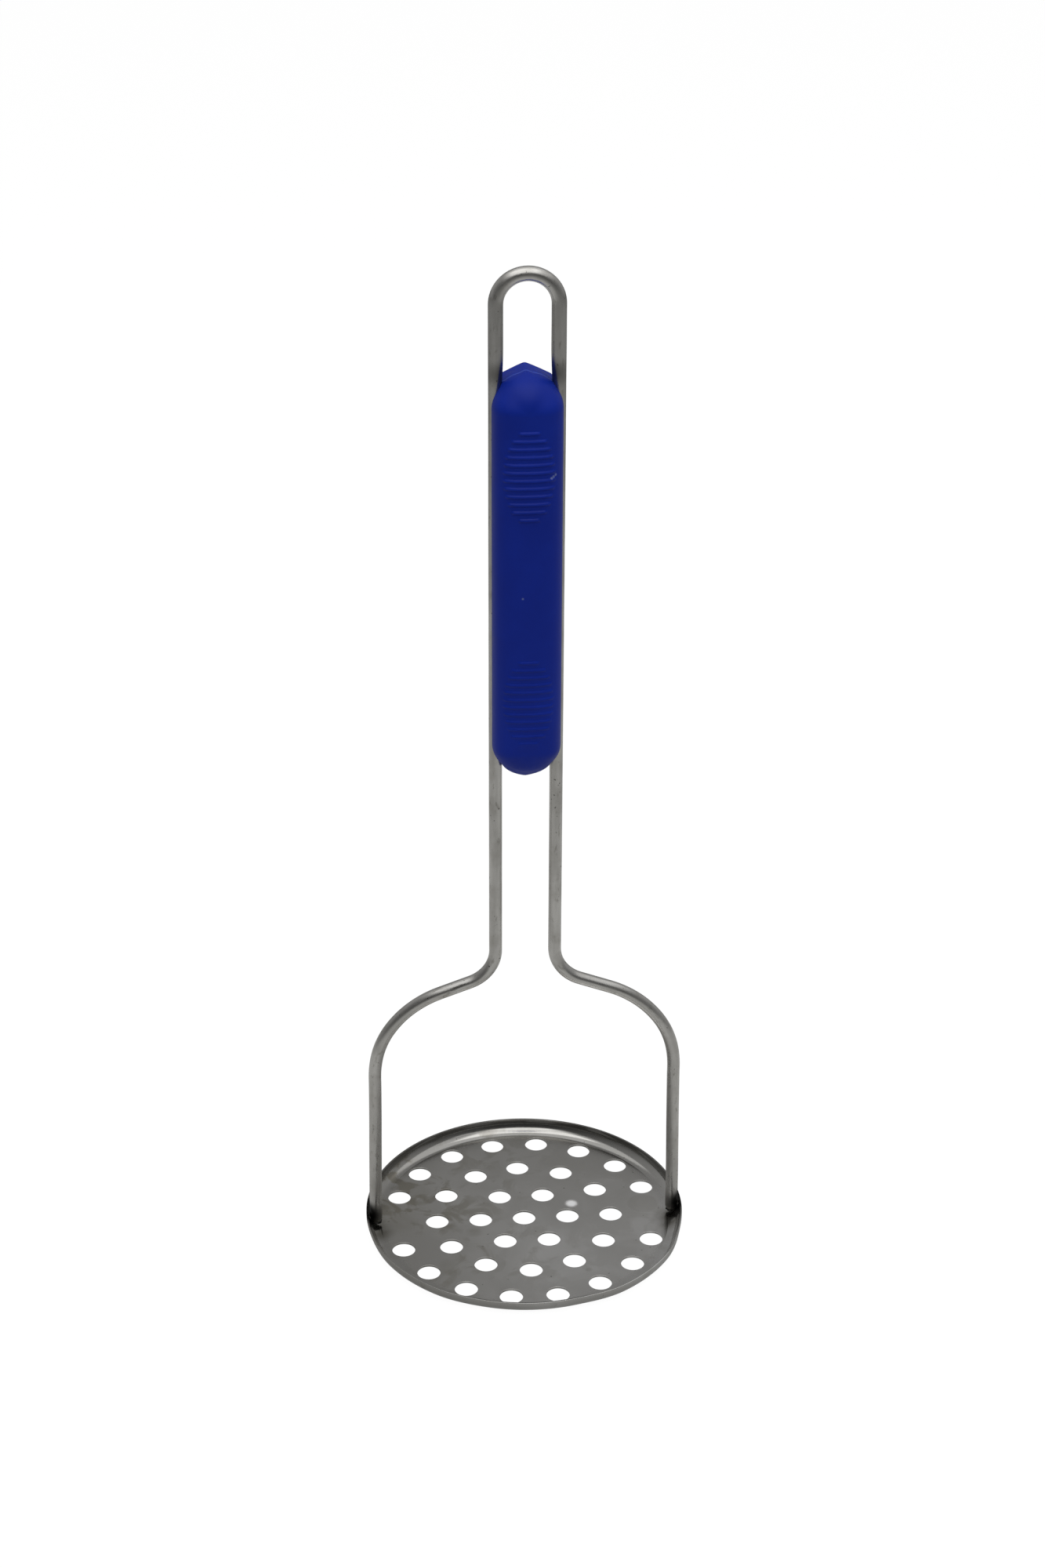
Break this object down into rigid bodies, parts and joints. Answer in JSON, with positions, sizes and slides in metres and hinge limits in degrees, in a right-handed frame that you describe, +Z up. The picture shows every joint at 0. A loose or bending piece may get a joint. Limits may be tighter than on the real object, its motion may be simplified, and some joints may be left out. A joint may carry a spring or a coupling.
{
  "type": "potato masher",
  "caption": "Potato masher: round perforated steel disc with a low upturned rim, on a bent wire frame that rises through a plastic grip to a hanging loop.",
  "frame": {"origin": "centre of the disc's flat underside, on the surface that the masher stands on", "axes": "+Z up the handle, +X across the frame from leg to leg, the grip's front shell faces -Y"},
  "size_m": [0.1014, 0.1014, 0.3214],
  "materials": {
    "wire_steel": "dull drawn stainless wire with fine lengthwise marks and small pits",
    "disc_steel": "satin stamped stainless sheet with faint water stains",
    "weld_steel": "heat-darkened weld metal",
    "grip_plastic": "deep blue moulded plastic with a soft sheen"
  },
  "bodies": {
    "root": {"wire_frame": "wire_steel", "masher_disc": "disc_steel", "leg_welds": "weld_steel", "grip_front": "grip_plastic", "grip_back": "grip_plastic"}
  },
  "joints": []
}
